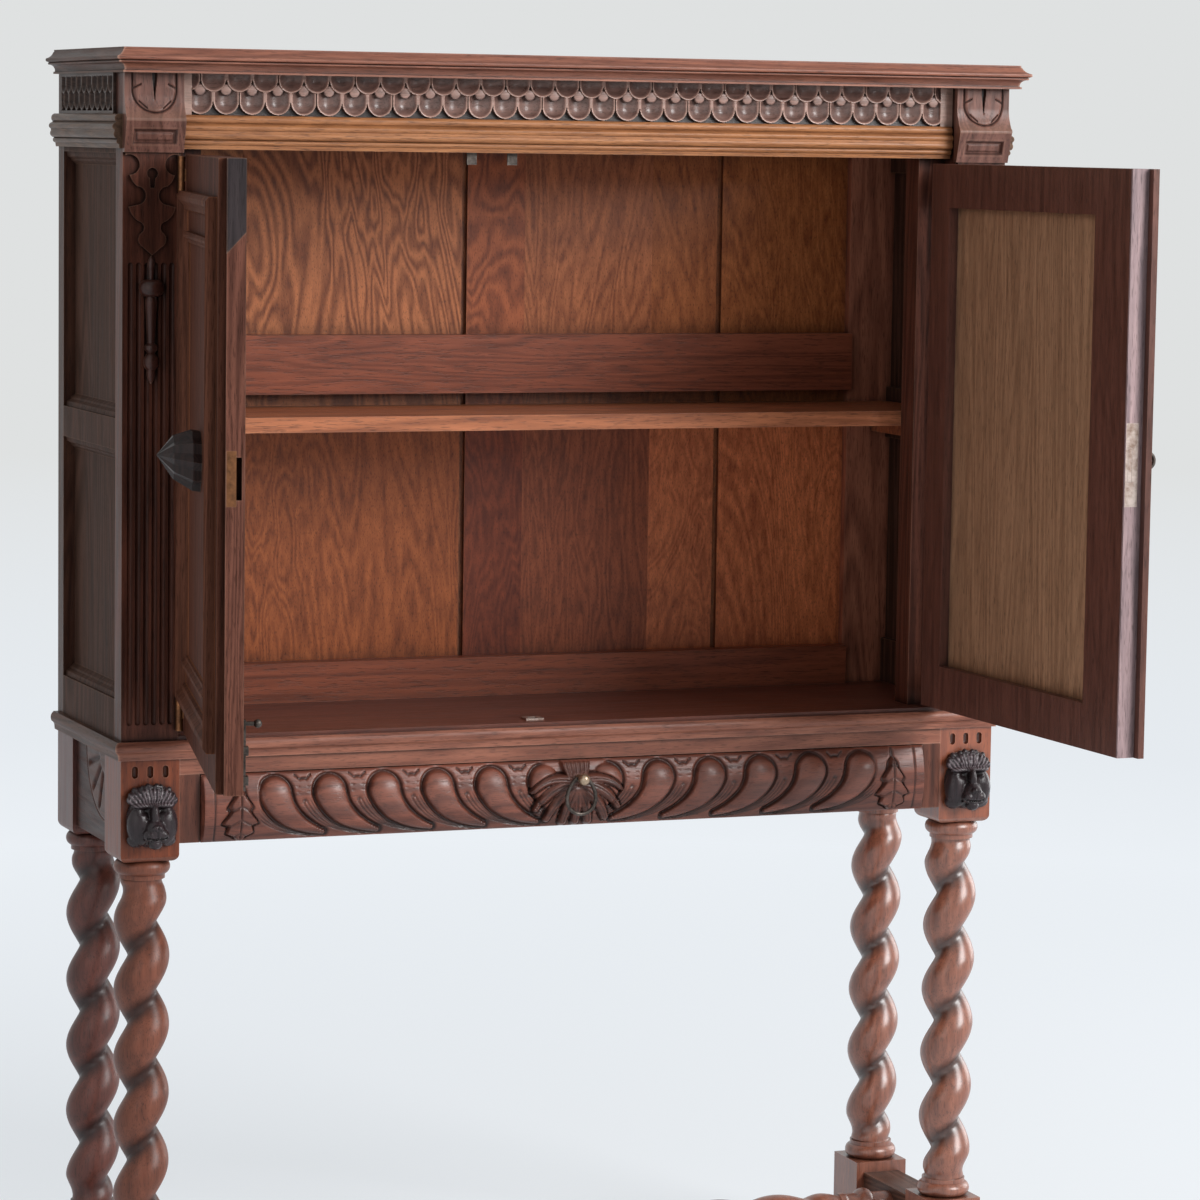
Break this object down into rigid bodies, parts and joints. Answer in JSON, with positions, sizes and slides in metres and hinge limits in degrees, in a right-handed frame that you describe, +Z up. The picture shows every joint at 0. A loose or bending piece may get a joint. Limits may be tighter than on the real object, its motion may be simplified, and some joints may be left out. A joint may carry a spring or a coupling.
{
  "type": "bookcase",
  "caption": "Carved oak bookcase on a barley-twist stand with panelled doors that swing open, a gadrooned drawer and an inner shelf.",
  "frame": {"origin": "on the floor, under the middle of the case in width and depth", "axes": "+X to the right, +Y to the back, +Z up; the front with the doors faces -Y"},
  "size_m": [1.1512, 0.7797, 1.51],
  "materials": {
    "oak": "varnished, satin",
    "interior_oak": "polished, satin",
    "dark_oak": "dark stained, satin",
    "brass": "aged",
    "iron": "dark, worn",
    "patch": "dark stained repair"
  },
  "bodies": {
    "case": {"top_board": "oak", "cornice_front": "oak", "cornice_sides": "oak", "frieze_front": "oak", "frieze_sides": "oak", "consoles": "oak", "necking_front": "oak", "necking_sides": "oak", "front_post_left": "oak", "front_post_right": "oak", "split_spindles": "dark_oak", "rear_post_left": "oak", "rear_post_right": "oak", "side_rails": "oak", "side_panels": "oak", "back_boards": "interior_oak", "back_rails": "interior_oak", "shelf": "interior_oak", "shelf_cleats": "interior_oak", "case_floor": "interior_oak", "waist_moulding_front": "oak", "waist_moulding_sides": "oak", "fascia_rail": "oak", "drawer_stiles": "oak", "side_aprons": "oak", "back_apron": "oak", "front_leg_left": "oak", "front_leg_right": "oak", "rear_leg_left": "oak", "rear_leg_right": "oak", "lion_masks": "dark_oak", "side_stretchers": "oak", "twist_stretcher": "oak", "drawer_runners": "interior_oak", "hinge_post_leaves": "brass", "bolt_keeper": "iron", "door_stop_tabs": "iron"},
    "drawer": {"drawer_front": "oak", "drawer_sides": "interior_oak", "drawer_back": "interior_oak", "drawer_bottom": "interior_oak", "pull_stud": "brass"},
    "pull": {"pull_ring": "iron"},
    "left_door": {"left_door_frame": "oak", "left_door_panel": "oak", "left_door_mouldings": "oak", "left_door_boss": "dark_oak", "left_hinge_leaves": "brass", "edge_patch": "patch", "strike_plate": "brass", "bolt_staples": "iron"},
    "sliding_bolt": {"floor_bolt": "iron"},
    "right_door": {"right_door_frame": "oak", "right_door_panel": "oak", "right_door_mouldings": "oak", "right_door_boss": "dark_oak", "right_hinge_leaves": "brass", "lock": "brass"},
    "lock_bolt": {"lock_bolt": "brass"},
    "key": {"door_key": "iron"}
  },
  "joints": [
    {"name": "left_door_hinge", "type": "hinge", "parent": "case", "child": "left_door", "pos_m": [-0.483, -0.1459, 1.065], "axis": [0, 0, -1], "range_deg": [-102.2, 32.8]},
    {"name": "right_door_hinge", "type": "hinge", "parent": "case", "child": "right_door", "pos_m": [0.483, -0.1459, 1.065], "axis": [0, 0, 1], "range_deg": [-91.2, 43.8]},
    {"name": "drawer_slide", "type": "slide", "parent": "case", "child": "drawer", "axis": [0, -1, 0], "range_m": [0, 0.15]},
    {"name": "pull_swing", "type": "hinge", "parent": "drawer", "child": "pull", "pos_m": [0, -0.17, 0.668], "axis": [-1, 0, 0], "range_deg": [0, 85]},
    {"name": "bolt_slide", "type": "slide", "parent": "left_door", "child": "sliding_bolt", "axis": [0, 0, -1], "range_m": [0, 0.014]},
    {"name": "key_turn", "type": "hinge", "parent": "right_door", "child": "key", "pos_m": [0.48704, -0.57261, 1.065], "axis": [0.9998, 0.0209, 0], "range_deg": [0, 180]},
    {"name": "lock_bolt_slide", "type": "slide", "parent": "right_door", "child": "lock_bolt", "axis": [0.0209, -0.9998, 0], "range_m": [0, 0.008]}
  ],
  "couplings": [
    {"joint": "key_turn", "follows": "lock_bolt_slide", "rad_per_m": 392.7}
  ]
}
